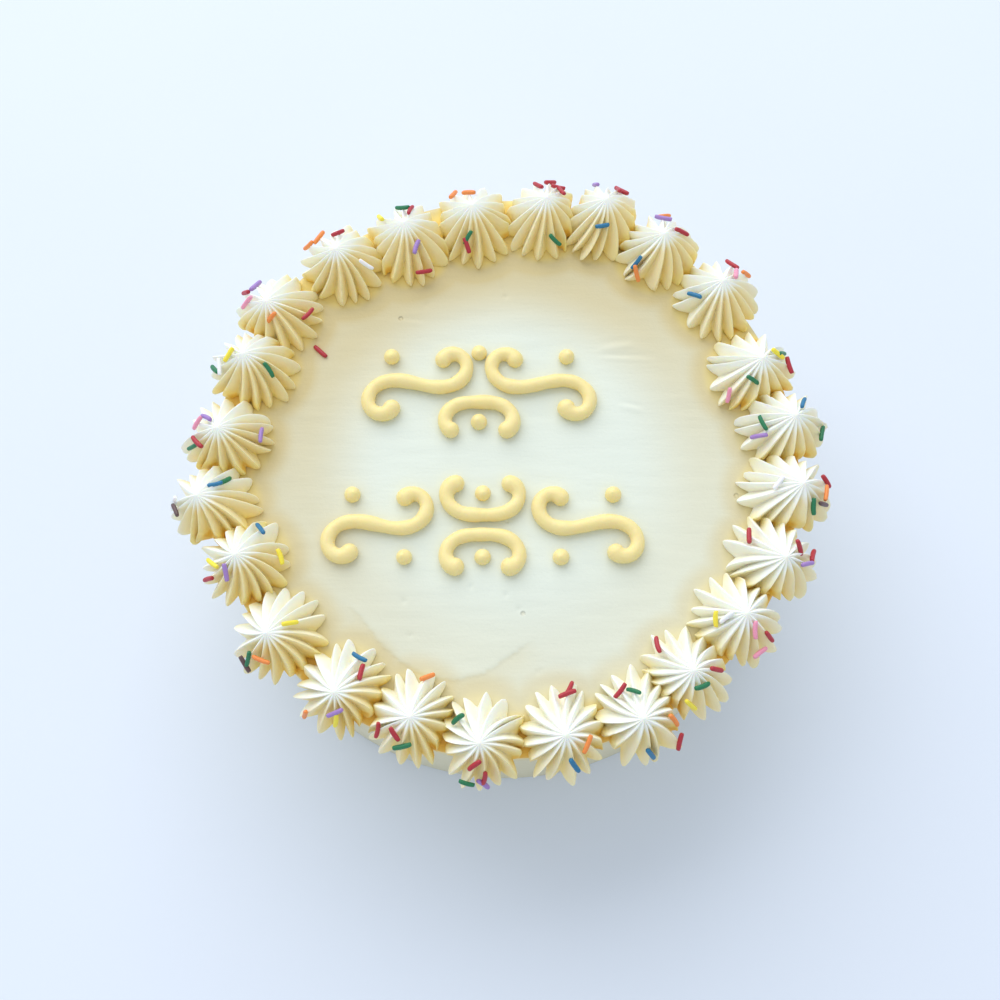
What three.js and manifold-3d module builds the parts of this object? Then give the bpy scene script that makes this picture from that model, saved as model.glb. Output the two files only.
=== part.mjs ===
// A round iced birthday cake: a smooth butter-cream drum, a ring of ridged piped rosettes
// strewn with sugar sprinkles round its top edge, and two rows of piped scrollwork on its top.
// Millimetres, +Z up. The origin is the middle of the flat underside; -Y is the front.

import * as THREE from "three";
import { mergeVertices } from "three/addons/utils/BufferGeometryUtils.js";
import Module from "manifold-3d";

const wasm = await Module();
wasm.setup();

// ---- driving sizes ----
const SPONGE_DIAMETER = 198; // from an eight-inch tin, less what it shrinks in the oven
const ICING_COAT = 5;
const CAKE_RADIUS = SPONGE_DIAMETER / 2 + ICING_COAT;
const CAKE_HEIGHT = 76;
const EDGE_ROUND = 3; // the soft top edge of the icing
const FOOT_ROUND = 1;
const CAKE_SEGMENTS = 60;
const SEAT_GAP = 0.3; // clearance between a piped piece and what it rests on
const NEIGHBOUR_GAP = 0.4;

const ROSETTE_RADIUS = 17.5;
const ROSETTE_HEIGHT = 15;
const ROSETTE_OVERHANG = 11; // how far the outermost ridge stands past the cake's side
const ROSETTE_RING = CAKE_RADIUS + ROSETTE_OVERHANG - ROSETTE_RADIUS;
const RIDGES = 16; // teeth of the piping nozzle
const RIDGE_DEPTH = 0.34; // valley depth as a share of the crest's radius
const ROSETTE_LEAN = 2.5; // how far the peak leans outwards
const TWIST = 0.16; // turn of the ridges from base to peak, in radians
const FIRST_AZIMUTH = 83; // the rosette behind the middle, in degrees from +X

// Each rosette was set down by eye, so it is a few degrees round and a few millimetres
// in or out of its even place. Clockwise from the back, one entry for each rosette.
const DRIFT_DEGREES = [
  -1.5, 1, 2, 0.5, -3, -1.5, -0.5, 0, 0.5, 0, 3, 3,
  2.5, 3, 3, 1.5, 0, 1.5, 3, 1.5, 3.5, 0.5, 0.5, -1,
];
const RADIAL_DRIFT = [
  -3, 2, 0.5, 1, -4, 1, 0.5, 0.5, -0.5, -0.5, 3, 0.5,
  1, -1, 0.5, 1.5, -0.5, 5.5, 1, -1.5, 2, -2, -7, -6,
];
const ROSETTES = DRIFT_DEGREES.length;

// Profile of a rosette's crest: share of its radius against share of its height.
const ROSETTE_PROFILE = [
  [0.93, 0],
  [1, 0.18],
  [0.8, 0.5],
  [0.42, 0.8],
];

const SPRINKLE_RADIUS = 0.9;
const SPRINKLE_LENGTH = 6.4;
const SPRINKLE_SIDES = 5;
const SPRINKLE_SINK = 0.5; // share of its radius that a sprinkle is pressed below its surface
const MOST_SPRINKLES = 5; // on every second rosette; one fewer on those between
const SPRINKLE_RISE = [0.4, 0.85]; // where they lie, as a share of the rosette's height
const SPRINKLE_SWING = 1.15; // how far to the side, in radians at the peak
const STRAY_SPRINKLE = { x: -67, y: 41, turn: -0.75 }; // one that fell on the plain top

const ROPE_RADIUS = 2.5; // a plain round nozzle's line
const ROPE_SIDES = 7;
const ROPE_SETTLE = 0.78; // height of the rope's middle as a share of its radius
const END_SWELL = 0.2; // the blob where a line starts and stops
const END_SWELL_LENGTH = 4;
const RING_PITCH = 4.8; // mean distance between the rope's rings
const RING_CROWDING = 0.6; // below 1, the rings gather at the ends
const CURVE_POINTS = 48;
const CURL_RADIUS = 3.8; // tightest bend at a scroll's eye
const PEARL_RADIUS = 2.9;
const PEARL_SEGMENTS = [9, 5]; // round and up

// The scrollwork: where the middle of each row is, and its strokes and pearls about that
// middle. A stroke's tilt is in degrees, and a mirrored one is flipped left for right.
const UPPER_ROW = {
  middle: [-9.5, 26.5],
  strokes: [
    { kind: "S", length: 68, x: -22, y: 1.5, tilt: -14, mirror: 1 },
    { kind: "C", length: 40, x: 0, y: -5.5, tilt: 180, mirror: 1 },
    { kind: "S", length: 68, x: 22, y: 1.5, tilt: -14, mirror: -1 },
  ],
  pearls: [[0, 13.5], [-31.5, 12], [31.5, 12], [0, -13]],
};
const LOWER_ROW = {
  middle: [-8, -24.5],
  strokes: [
    { kind: "S", length: 64, x: -36.5, y: 0, tilt: -14, mirror: 1 },
    { kind: "C", length: 44, x: 0, y: 3.5, tilt: 0, mirror: 1 },
    { kind: "C", length: 44, x: 0, y: -3.5, tilt: 180, mirror: 1 },
    { kind: "S", length: 64, x: 36.5, y: 0, tilt: -14, mirror: -1 },
  ],
  pearls: [[0, 11.5], [0, -11.5], [-45.5, 11], [45.5, 11], [-27, -11.5], [27, -11.5]],
};

// ---- solids ----

// A three.js geometry with its shared vertices made one.
function joined(geometry) {
  geometry.deleteAttribute("normal");
  geometry.deleteAttribute("uv");
  return mergeVertices(geometry, 1e-4);
}

// A closed and joined geometry as a manifold solid.
function solidOf(geometry) {
  return new wasm.Manifold(
    new wasm.Mesh({
      numProp: 3,
      vertProperties: geometry.attributes.position.array,
      triVerts: new Uint32Array(geometry.index.array),
    }),
  );
}

// A manifold solid back as a geometry.
function geometryOf(solid) {
  const mesh = solid.getMesh();
  const geometry = new THREE.BufferGeometry();
  geometry.setAttribute("position", new THREE.BufferAttribute(mesh.vertProperties, 3));
  geometry.setIndex(new THREE.BufferAttribute(mesh.triVerts, 1));
  geometry.computeVertexNormals();
  return geometry;
}

// Moves every vertex of a geometry by a function of its position.
function reshape(geometry, move) {
  const position = geometry.attributes.position;
  const point = new THREE.Vector3();
  for (let i = 0; i < position.count; i++) {
    move(point.fromBufferAttribute(position, i));
    position.setXYZ(i, point.x, point.y, point.z);
  }
  return geometry;
}

// A profile of [radius, height] pairs turned round the Z axis.
function turned(profile, segments) {
  const points = profile.map(([radius, height]) => new THREE.Vector2(radius, height));
  return joined(new THREE.LatheGeometry(points, segments).rotateX(Math.PI / 2));
}

// ---- materials ----
const butterCream = new THREE.MeshStandardMaterial({ color: 0xf3edd2, roughness: 0.5 });
const pipedCream = new THREE.MeshStandardMaterial({ color: 0xf8e9b6, roughness: 0.45 });
const yellowCream = new THREE.MeshStandardMaterial({ color: 0xf4e183, roughness: 0.4 });

function named(name, geometry, material) {
  const mesh = new THREE.Mesh(geometry, material);
  mesh.name = name;
  return mesh;
}

// ---- sprinkles ----

// A sugar strand lying at a point, along an axis.
function sprinkle(centre, axis) {
  const straight = SPRINKLE_LENGTH - 2 * SPRINKLE_RADIUS;
  const strand = joined(
    new THREE.CapsuleGeometry(SPRINKLE_RADIUS, straight, 1, SPRINKLE_SIDES),
  );
  const turn = new THREE.Quaternion().setFromUnitVectors(
    new THREE.Vector3(0, 1, 0),
    axis.clone().normalize(),
  );
  return solidOf(strand.applyQuaternion(turn).translate(centre.x, centre.y, centre.z));
}

// An even scatter without a table: the fractional part of index times an irrational step.
function scatter(index, step) {
  return (index * step) % 1;
}

// Where sprinkle number `index` lies on a rosette, in the rosette's own frame: on a ridge,
// two of every three on the outward side, pointing any way along the surface. The lower it
// lies, the straighter outwards or inwards it is, which keeps it off the neighbours.
function sprinklePlace(index) {
  const pitch = (2 * Math.PI) / RIDGES;
  const [lowest, highest] = SPRINKLE_RISE;
  const rise = lowest + (highest - lowest) * scatter(index + 1, 0.754878);
  const facing = index % 3 === 2 ? Math.PI : 0;
  const swing = (2 * scatter(index + 1, 0.618034) - 1) * SPRINKLE_SWING * rise;
  const ridge = Math.round((facing + swing) / pitch);
  const round = ridge * pitch + TWIST * rise;
  const spin = Math.PI * scatter(index + 1, 0.569840);
  const [crest, slope] = crestAt(rise);
  const outward = new THREE.Vector3(Math.cos(round), Math.sin(round), 0);
  const along = new THREE.Vector3(-outward.y, outward.x, 0);
  const uphill = outward.clone().multiplyScalar(slope).setZ(ROSETTE_HEIGHT).normalize();
  const normal = new THREE.Vector3().crossVectors(along, uphill);
  const centre = outward.clone().multiplyScalar(crest).setZ(rise * ROSETTE_HEIGHT);
  centre.x += ROSETTE_LEAN * rise * rise;
  centre.addScaledVector(normal, SPRINKLE_RADIUS * (1 - SPRINKLE_SINK));
  const axis = along.multiplyScalar(Math.cos(spin)).addScaledVector(uphill, Math.sin(spin));
  return { centre, axis };
}

// ---- rosettes ----

// The crest's radius at a share of the height, and its change per unit share.
function crestAt(rise) {
  const profile = [...ROSETTE_PROFILE, [0, 1]];
  const above = profile.findIndex(([, height]) => height >= rise && height > 0);
  const [lowRadius, low] = profile[above - 1];
  const [highRadius, high] = profile[above];
  const slope = ((highRadius - lowRadius) / (high - low)) * ROSETTE_RADIUS;
  return [lowRadius * ROSETTE_RADIUS + slope * (rise - low), slope];
}

const azimuths = DRIFT_DEGREES.map((drift, i) =>
  THREE.MathUtils.degToRad(FIRST_AZIMUTH - (360 / ROSETTES) * i + drift),
);

// Half the angle between a rosette and its neighbour on one side.
function halfSpacing(i, side) {
  const neighbour = azimuths[(i - side + ROSETTES) % ROSETTES];
  const turn = 2 * Math.PI;
  return ((((neighbour - azimuths[i]) * side) % turn) + turn) % turn / 2;
}

// A drop star: a turned dome whose radius rises and falls round its ridges. The ridges twist
// and lean with height, and stop at the planes halfway to the two neighbours.
function rosetteDome(i, ring) {
  const profile = ROSETTE_PROFILE.map(([radius, height]) => [
    radius * ROSETTE_RADIUS,
    height * ROSETTE_HEIGHT,
  ]);
  const dome = turned([[0, 0], ...profile, [0, ROSETTE_HEIGHT]], 2 * RIDGES);
  const leftSlope = Math.tan(halfSpacing(i, 1));
  const rightSlope = Math.tan(halfSpacing(i, -1));
  return reshape(dome, (p) => {
    const rise = p.z / ROSETTE_HEIGHT;
    const angle = Math.atan2(p.y, p.x);
    const valley = (1 - Math.cos(RIDGES * angle)) / 2;
    const radius = Math.hypot(p.x, p.y) * (1 - RIDGE_DEPTH * valley);
    const turnedAngle = angle + TWIST * rise;
    p.x = radius * Math.cos(turnedAngle) + ROSETTE_LEAN * rise * rise;
    p.y = radius * Math.sin(turnedAngle);
    const left = (ring + p.x) * leftSlope - NEIGHBOUR_GAP / 2;
    const right = (ring + p.x) * rightSlope - NEIGHBOUR_GAP / 2;
    p.y = Math.max(-right, Math.min(left, p.y));
  });
}

// A rosette with its sprinkles fused on, facing outwards at its place on the ring.
function rosette(i) {
  const ring = ROSETTE_RING + RADIAL_DRIFT[i];
  let solid = solidOf(rosetteDome(i, ring));
  for (let k = i % 2; k < MOST_SPRINKLES; k++) {
    const { centre, axis } = sprinklePlace(i * MOST_SPRINKLES + k);
    solid = solid.add(sprinkle(centre, axis));
  }
  const name = "rosette_" + String(i + 1).padStart(2, "0");
  const mesh = named(name, geometryOf(solid), pipedCream);
  mesh.position.set(ring, 0, CAKE_HEIGHT + SEAT_GAP);
  const arm = new THREE.Group();
  arm.rotation.z = azimuths[i];
  arm.add(mesh);
  return arm;
}

// ---- the iced cake ----
function cake() {
  const halfway = EDGE_ROUND * (1 - Math.SQRT1_2); // the middle of the quarter round
  const drum = turned(
    [
      [0, 0],
      [CAKE_RADIUS - FOOT_ROUND, 0],
      [CAKE_RADIUS, FOOT_ROUND],
      [CAKE_RADIUS, CAKE_HEIGHT - EDGE_ROUND],
      [CAKE_RADIUS - halfway, CAKE_HEIGHT - halfway],
      [CAKE_RADIUS - EDGE_ROUND, CAKE_HEIGHT],
      [0, CAKE_HEIGHT],
    ],
    CAKE_SEGMENTS,
  );
  const { x, y, turn } = STRAY_SPRINKLE;
  const lift = SPRINKLE_RADIUS * (1 - SPRINKLE_SINK);
  const centre = new THREE.Vector3(x, y, CAKE_HEIGHT + lift);
  const stray = sprinkle(centre, new THREE.Vector3(Math.cos(turn), Math.sin(turn), 0));
  return named("cake", geometryOf(solidOf(drum).add(stray)), butterCream);
}

// ---- piped lines ----

// Points of a curl that starts at the origin along +X. Its bend grows steadily from straight
// to CURL_RADIUS, so its heading grows with the square of the distance run.
function curlPoints(length, steps) {
  const points = [new THREE.Vector2(0, 0)];
  const step = length / steps;
  for (let k = 0; k < steps; k++) {
    const run = (k + 0.5) * step;
    const heading = run ** 2 / (2 * CURL_RADIUS * length);
    const stride = new THREE.Vector2(step * Math.cos(heading), step * Math.sin(heading));
    points.push(stride.add(points[k]));
  }
  return points;
}

// The path of a stroke: two curls that run straight where they meet. In an S the second is
// the first turned half round, and in a C it is the first mirrored.
function strokeCurve({ kind, length, x, y, tilt, mirror }, [middleX, middleY]) {
  const curl = curlPoints(length / 2, CURVE_POINTS / 2);
  const flip = kind === "S" ? -1 : 1;
  const back = curl.slice(1).reverse().map((p) => new THREE.Vector2(-p.x, flip * p.y));
  const origin = new THREE.Vector2();
  const points = [...back, ...curl].map((p) => {
    p.rotateAround(origin, THREE.MathUtils.degToRad(tilt));
    return new THREE.Vector3(middleX + x + mirror * p.x, middleY + y + p.y, 0);
  });
  const curve = new THREE.CatmullRomCurve3(points);
  curve.arcLengthDivisions = 20 * CURVE_POINTS;
  return curve;
}

// A piped rope: a round-ended capsule bent along a curve, swollen where the nozzle started
// and stopped, and settled flat below. Its rings crowd towards the tight ends.
function rope(name, curve) {
  const length = curve.getLength();
  const rings = Math.round(length / RING_PITCH);
  const rod = joined(
    new THREE.CapsuleGeometry(ROPE_RADIUS, length, 2, ROPE_SIDES, rings),
  );
  const up = new THREE.Vector3(0, 0, 1);
  reshape(rod, (p) => {
    const share = THREE.MathUtils.clamp((2 * p.y) / length, -1, 1);
    const beyond = p.y - (share * length) / 2;
    const along = (1 + Math.sign(share) * Math.abs(share) ** RING_CROWDING) / 2;
    const fromEnd = Math.min(along, 1 - along) * length;
    const swell = 1 + END_SWELL * Math.exp(-((fromEnd / END_SWELL_LENGTH) ** 2));
    const ahead = curve.getTangentAt(along);
    const across = new THREE.Vector3().crossVectors(ahead, up);
    const height = ROPE_RADIUS * ROPE_SETTLE + swell * p.z;
    const sideways = swell * p.x;
    p.copy(curve.getPointAt(along));
    p.addScaledVector(ahead, swell * beyond).addScaledVector(across, sideways);
    p.z = Math.max(0, height);
  });
  const mesh = named(name, rod, yellowCream);
  mesh.position.z = CAKE_HEIGHT + SEAT_GAP;
  return mesh;
}

// A piped pearl: a ball with a flat seat.
function pearl(name, x, y) {
  const ball = joined(
    new THREE.SphereGeometry(PEARL_RADIUS, ...PEARL_SEGMENTS).rotateX(Math.PI / 2),
  );
  reshape(ball, (p) => {
    p.z = Math.max(0, p.z + PEARL_RADIUS * ROPE_SETTLE);
  });
  const mesh = named(name, ball, yellowCream);
  mesh.position.set(x, y, CAKE_HEIGHT + SEAT_GAP);
  return mesh;
}

// One row of scrollwork.
function scrollRow(rowName, { middle, strokes, pearls }) {
  const row = new THREE.Group();
  strokes.forEach((stroke, k) => {
    row.add(rope(`${rowName}_scroll_${k + 1}`, strokeCurve(stroke, middle)));
  });
  pearls.forEach(([x, y], k) => {
    row.add(pearl(`${rowName}_pearl_${k + 1}`, middle[0] + x, middle[1] + y));
  });
  return row;
}

// ---- assembly ----
const group = new THREE.Group();
group.add(cake());
for (let i = 0; i < ROSETTES; i++) {
  group.add(rosette(i));
}
group.add(scrollRow("upper", UPPER_ROW));
group.add(scrollRow("lower", LOWER_ROW));

export default group;
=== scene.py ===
"""A round butter-cream birthday cake: smooth icing with the marks of the spatula, a ring of
ridged piped rosettes strewn with sugar strands, and two rows of piped scrollwork on its top.

Metres, +Z up. The origin is the middle of the flat underside, and -Y is the front.
"""

import math

import bpy
import numpy as np
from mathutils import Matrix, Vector


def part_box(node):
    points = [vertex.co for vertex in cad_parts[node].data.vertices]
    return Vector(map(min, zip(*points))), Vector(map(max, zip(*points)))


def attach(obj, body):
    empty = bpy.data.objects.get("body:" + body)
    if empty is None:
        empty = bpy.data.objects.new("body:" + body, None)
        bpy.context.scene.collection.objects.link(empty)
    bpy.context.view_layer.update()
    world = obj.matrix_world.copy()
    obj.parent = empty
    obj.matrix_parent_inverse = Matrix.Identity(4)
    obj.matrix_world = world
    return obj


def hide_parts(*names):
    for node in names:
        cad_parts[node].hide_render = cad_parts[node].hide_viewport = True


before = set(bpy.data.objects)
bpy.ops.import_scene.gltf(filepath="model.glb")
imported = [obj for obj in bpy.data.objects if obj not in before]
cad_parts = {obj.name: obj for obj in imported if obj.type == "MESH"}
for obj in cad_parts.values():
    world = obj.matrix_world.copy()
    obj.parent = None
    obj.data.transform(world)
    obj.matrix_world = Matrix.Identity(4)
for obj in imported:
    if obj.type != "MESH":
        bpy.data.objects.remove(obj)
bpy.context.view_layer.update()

bl_info = {
    "name": "Piped Birthday Cake",
    "version": (1, 0, 0),
    "blender": (4, 5, 0),
    "location": "3D View > Sidebar > Cake",
    "description": "Ices, pipes and strews a round butter-cream cake on a lit stage",
    "category": "Add Mesh",
}

# ---- sizes taken from the frame ----

MM = 0.001
TURN = 2 * math.pi
SEAT_GAP = 0.3 * MM  # the solids' clearance, which the cream closes
# How far piped cream is pressed into the icing.
ROSETTE_SUNK, LINE_SUNK, PEARL_SUNK = 0.2 * MM, 0.15 * MM, 0.1 * MM
FIRST_LOW, FIRST_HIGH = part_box("rosette_01")
CAKE_TOP = FIRST_LOW.z - SEAT_GAP
CAKE_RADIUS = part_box("cake")[1].x
ROSETTE_HEIGHT = FIRST_HIGH.z - FIRST_LOW.z
ROSETTE_NODES = sorted(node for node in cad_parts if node.startswith("rosette_"))
ROSETTES = len(ROSETTE_NODES)

# ---- the rosettes' places ----

FIRST_AZIMUTH = 83  # the rosette behind the middle, in degrees from +X
# Clockwise from the back: degrees round and millimetres outwards from the even place.
DRIFT_DEGREES = [
    -1.5, 1, 2, 0.5, -3, -1.5, -0.5, 0, 0.5, 0, 3, 3,
    2.5, 3, 3, 1.5, 0, 1.5, 3, 1.5, 3.5, 0.5, 0.5, -1,
]
RADIAL_DRIFT = [
    -3, 2, 0.5, 1, -4, 1, 0.5, 0.5, -0.5, -0.5, 3, 0.5,
    1, -1, 0.5, 1.5, -0.5, 5.5, 1, -1.5, 2, -2, -7, -6,
]
AZIMUTHS = np.radians(
    FIRST_AZIMUTH - 360 / ROSETTES * np.arange(ROSETTES) + np.array(DRIFT_DEGREES)
)

# ---- the rosettes' shape and shade ----

# A crest from under its foot to its peak: share of its radius against share of its height.
CREST_PROFILE = [
    (0.5, 0), (0.7, 0), (0.9, 0), (0.97, 0.02), (1, 0.1), (0.99, 0.22), (0.93, 0.33),
    (0.8, 0.47), (0.62, 0.63), (0.42, 0.785), (0.25, 0.89), (0.12, 0.955), (0.05, 0.985),
    (0.012, 1),
]
ROSETTE_LEVELS = 64
ACROSS_RIDGE = 14  # faces across one ridge
CREST_ROUND = 0.07  # softness of a ridge's crest, as a share of its half width
VALLEY_ROUND = 0.18  # and of the valley's bottom
FOOT_SHALLOWER = 0.38  # the share of a valley's depth that is missing at the foot
PEAK_SHALLOWER = 0.25  # and at the peak
MOST_SHORTER = 0.12  # by how much of the radius a ridge may be short
MOST_TORN = 0.45 * MM  # roughness of the most torn crest
NEIGHBOUR_GAP = 2.2 * MM  # by how much neighbours stand apart outside the cake's edge
DROOP_START = 6 * MM  # how far past the edge the droop is half of a straight slope's
WINDOW_AZIMUTH = 0.64 * math.pi  # the side towards which flanks are painted paler, as painted light from the window
LIT_AZIMUTH = -0.15 * math.pi  # where in the ring the rosettes are painted palest all round, as if lit most

# ---- the scrollwork, in mm: a row's middle, its strokes and its pearls about it ----
# A stroke: its kind, its length, x and y of its middle, its tilt in degrees, and 1 or, where
# it is mirrored, -1.

UPPER_ROW = {
    "middle": (-9.5, 26.5),
    "strokes": [
        ("S", 68, -22, 1.5, -14, 1),
        ("C", 40, 0, -5.5, 180, 1),
        ("S", 68, 22, 1.5, -14, -1),
    ],
    "pearls": [(0, 13.5), (-31.5, 12), (31.5, 12), (0, -13)],
}
LOWER_ROW = {
    "middle": (-8, -24.5),
    "strokes": [
        ("S", 64, -36.5, 0, -14, 1),
        ("C", 44, 0, 3.5, 0, 1),
        ("C", 44, 0, -3.5, 180, 1),
        ("S", 64, 36.5, 0, -14, -1),
    ],
    "pearls": [(0, 11.5), (0, -11.5), (-45.5, 11), (45.5, 11), (-27, -11.5), (27, -11.5)],
}
CURL_RADIUS = 3.8 * MM
# A pearl's outline from its seat to its tip, as shares of its radius.
PEARL_OUTLINE = [
    (0.62, 0), (0.93, 0.28), (1, 0.62), (0.88, 1.08), (0.55, 1.45), (0.2, 1.66), (0.04, 1.72),
]

# ---- the sprinkles ----

MOST_SPRINKLES = 5
SPRINKLE_RISE = (0.4, 0.85)  # where they lie, as a share of the rosette's height
SPRINKLE_SWING = 1.15  # how far to the side, in radians at the peak
# Steps whose multiples, less their whole parts, fill 0 to 1 evenly and out of time with
# each other.
SPREAD_STEPS = {"rise": 0.754878, "swing": 0.618034, "spin": 0.569840}
STRAY = {"x": -67 * MM, "y": 41 * MM, "turn": -0.75}  # the one on the plain top
SPRINKLE_COLOURS = {  # share of all sprinkles, and colour
    "red": (30, (0.42, 0.018, 0.032)),
    "green": (17, (0.008, 0.17, 0.065)),
    "orange": (13, (0.82, 0.25, 0.05)),
    "yellow": (8, (0.92, 0.72, 0.05)),
    "lilac": (10, (0.34, 0.2, 0.5)),
    "blue": (9, (0.01, 0.16, 0.32)),
    "pink": (5, (0.8, 0.3, 0.42)),
    "brown": (3, (0.11, 0.06, 0.06)),
    "white": (5, (0.9, 0.9, 0.92)),
}


# ---- properties ----


def length_property(name, description, default):
    """A length that a user can choose."""
    return bpy.props.FloatProperty(
        name=name, description=description, default=default, unit="LENGTH",
    )


def colour_property(name, description, default):
    """A colour that a user can choose, in linear values."""
    return bpy.props.FloatVectorProperty(
        name=name, description=description, default=default, subtype="COLOR", size=3,
        min=0, max=1,
    )


class CakeSizes(bpy.types.PropertyGroup):
    """Sizes that a baker would choose."""

    rosette_radius: length_property("Rosette radius", "Reach of its longest ridge", 17.5 * MM)
    ridges: bpy.props.IntProperty(
        name="Nozzle teeth", description="Ridges of one rosette", default=16, min=6,
    )
    ridge_depth: bpy.props.FloatProperty(
        name="Ridge depth", description="Depth of a valley as a share of the crest's radius",
        default=0.45, subtype="FACTOR", min=0, max=0.8,
    )
    overhang: length_property("Overhang", "Reach of the rosettes past the side", 11 * MM)
    lean: length_property("Lean", "How far a peak leans outwards", 2.5 * MM)
    rope_radius: length_property("Line radius", "Half the thickness of a piped line", 2.5 * MM)
    pearl_radius: length_property("Pearl radius", "Radius of a piped pearl", 2.9 * MM)
    sprinkle_radius: length_property("Sprinkle radius", "Half a strand's thickness", 0.9 * MM)
    sprinkle_length: length_property("Sprinkle length", "Length of a sugar strand", 6.4 * MM)
    edge_round: length_property("Edge round", "Radius of the icing's top edge", 3 * MM)


class CakeColours(bpy.types.PropertyGroup):
    """Colours of the creams, of the shade and highlight painted on them, and of the floor."""

    icing: colour_property("Icing", "The smooth coat", (0.78, 0.82, 0.71))
    # painted shade: the warm shade of the icing near the ring, on the side and in the pits
    icing_in_shade: colour_property("Shaded icing", "Where butter tints it", (0.67, 0.55, 0.28))
    piped: colour_property("Piped cream", "The rosettes' ridges", (0.93, 0.78, 0.42))
    # painted highlight: the peaks, and the flanks that face the window
    piped_crown: colour_property("Lit cream", "The rosettes' peaks", (0.96, 0.97, 0.88))
    # painted shade: the deep yellow in the rosettes' grooves, under them, and where the
    # scrollwork rests
    piped_in_shade: colour_property("Shaded cream", "The rosettes' hollows", (0.97, 0.76, 0.2))
    # painted shade: the deepest, where two rosettes meet and beneath the ring
    golden_shade: colour_property("Golden shade", "Where two rosettes meet", (0.86, 0.52, 0.08))
    scroll: colour_property("Yellow cream", "The scrollwork", (0.93, 0.755, 0.32))
    floor: colour_property("Floor", "The surface under the cake", (0.8, 0.85, 0.93))


class StageSettings(bpy.types.PropertyGroup):
    """The viewpoint, the floor and the light."""

    camera_side: length_property("Camera side", "How far right of the middle it is", -2 * MM)
    camera_front: length_property("Camera front", "How far in front of the middle it is", 0.148)
    camera_height: length_property("Camera height", "Its height above the floor", 0.511)
    camera_tilt: bpy.props.FloatProperty(
        name="Camera tilt", description="Turn away from looking straight down",
        default=math.radians(17), subtype="ANGLE",
    )
    lens: bpy.props.FloatProperty(
        name="Focal length", description="On a 36 mm sensor, in millimetres", default=46.8,
    )
    window_power: bpy.props.FloatProperty(
        name="Window", description="Power of the large soft light, in watts", default=127,
    )
    window_size: bpy.props.FloatVectorProperty(
        name="Window size", description="Width and height of the large soft light",
        default=(5, 4), size=2, unit="LENGTH",
    )
    window_place: bpy.props.FloatVectorProperty(
        name="Window place", description="Middle of the large soft light, behind and above",
        default=(-1, 2.8, 2.4), size=3, unit="LENGTH",
    )
    window_colour: colour_property("Window colour", "The daylight", (0.97, 0.98, 1))
    room_strength: bpy.props.FloatProperty(
        name="Room", description="Strength of the light from all round", default=0.78,
    )
    room_colour: colour_property("Room colour", "The light from all round", (0.84, 0.91, 1))
    floor_reach: length_property("Floor", "How far the floor reaches to each side", 3)


# ---- meshes from arrays ----


def wrapped_shell(grid):
    """Vertices and faces of a closed shell from a grid of points of shape (rows, columns, 3).

    Columns run round and wrap. The first and last rows are each closed by a fan about their
    mean point. Faces point outwards where columns turn anticlockwise about the way that the
    rows go.
    """
    rows, columns = grid.shape[:2]
    vertices = np.concatenate([grid.reshape(-1, 3), grid[[0, -1]].mean(axis=1)])
    index = np.arange(rows * columns).reshape(rows, columns)
    ahead = np.roll(index, -1, axis=1)
    quads = np.stack([index[:-1], ahead[:-1], ahead[1:], index[1:]], axis=-1).reshape(-1, 4)
    first = np.full(columns, rows * columns)
    low = np.stack([ahead[0], index[0], first], axis=-1)
    high = np.stack([index[-1], ahead[-1], first + 1], axis=-1)
    return vertices, quads, np.concatenate([low, high])


def wrapped_values(grid):
    """Values for the vertices of a wrapped shell, from a grid of them."""
    return np.concatenate([grid.ravel(), grid[[0, -1]].mean(axis=1)])


def shell_mesh(name, vertices, quads, triangles, **point_values):
    """A smooth-shaded mesh from arrays, with a float attribute for each of point_values."""
    if not all(np.isfinite(values).all() for values in (vertices, *point_values.values())):
        raise ValueError(f"{name} has a value that isn't a number")
    mesh = bpy.data.meshes.new(name)
    corners = np.concatenate([quads.ravel(), triangles.ravel()]).astype(np.int32)
    sizes = np.repeat([4, 3], [len(quads), len(triangles)])
    starts = np.concatenate([[0], np.cumsum(sizes)[:-1]]).astype(np.int32)
    mesh.vertices.add(len(vertices))
    mesh.vertices.foreach_set("co", vertices.astype(np.float32).ravel())
    mesh.loops.add(len(corners))
    mesh.loops.foreach_set("vertex_index", corners)
    mesh.polygons.add(len(sizes))
    mesh.polygons.foreach_set("loop_start", starts)
    mesh.polygons.foreach_set("use_smooth", np.ones(len(sizes), bool))
    for key, values in point_values.items():
        layer = mesh.attributes.new(key, "FLOAT", "POINT")
        layer.data.foreach_set("value", values.astype(np.float32).ravel())
    mesh.update(calc_edges=True)
    mesh.validate()
    return mesh


def add_piece(mesh, material, slot, *nodes):
    """A piece of the cake that takes the place of CAD nodes and rides on the root body."""
    piece = bpy.data.objects.new(mesh.name, mesh)
    bpy.context.scene.collection.objects.link(piece)
    mesh.materials.append(material)
    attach(piece, "root")
    if nodes:
        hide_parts(*nodes)
    return piece


def smoothstep(low, high, value):
    """0 below low, 1 above high, and an S-shaped rise between them; low may exceed high."""
    share = np.clip((value - low) / (high - low), 0, 1)
    return share * share * (3 - 2 * share)


def rounded(value, softness):
    """A value from 0 to 1 whose start at 0 is rounded off like a hyperbola's tip."""
    tip = np.sqrt(value**2 + softness**2) - softness
    return tip / (math.sqrt(1 + softness**2) - softness)


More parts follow.
